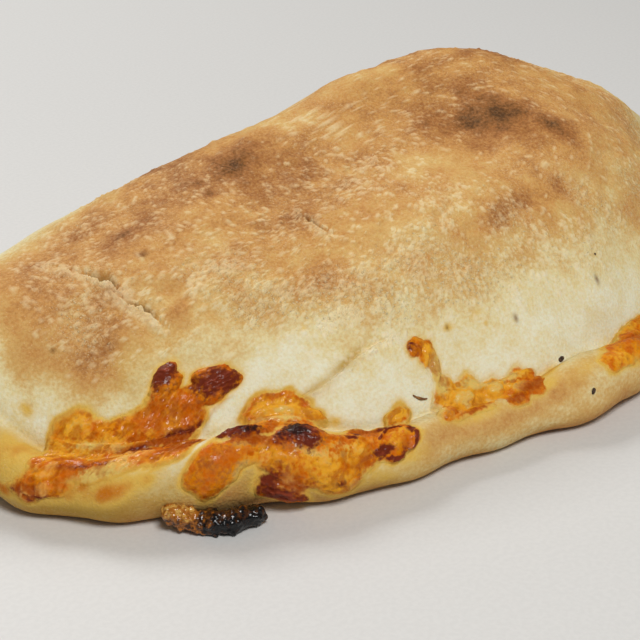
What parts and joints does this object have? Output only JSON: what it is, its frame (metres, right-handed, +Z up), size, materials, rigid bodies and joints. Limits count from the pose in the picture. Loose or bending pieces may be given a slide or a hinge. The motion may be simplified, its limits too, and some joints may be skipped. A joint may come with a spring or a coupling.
{
  "type": "calzone",
  "caption": "Large baked half-moon calzone with a rolled seam, a browned domed crust and cheese leaked and baked on along the seam",
  "frame": {"origin": "middle of the bounding box in plan, at the height of the flat underside", "axes": "+X along the length towards the higher end, +Y towards the folded side, -Y towards the rolled seam, +Z up"},
  "size_m": [0.3162, 0.1652, 0.082],
  "materials": {
    "baked_dough": "dry, blistered, mottled from cream to brown",
    "baked_cheese": "glossy, bubbled, orange to dark red-brown",
    "burnt_cheese": "glossy, blistered, black"
  },
  "bodies": {
    "root": {"dough": "baked_dough", "cheese_left": "baked_cheese", "cheese_middle": "baked_cheese", "cheese_right": "baked_cheese", "cheese_far": "baked_cheese", "burnt_drip": "burnt_cheese"}
  },
  "joints": []
}
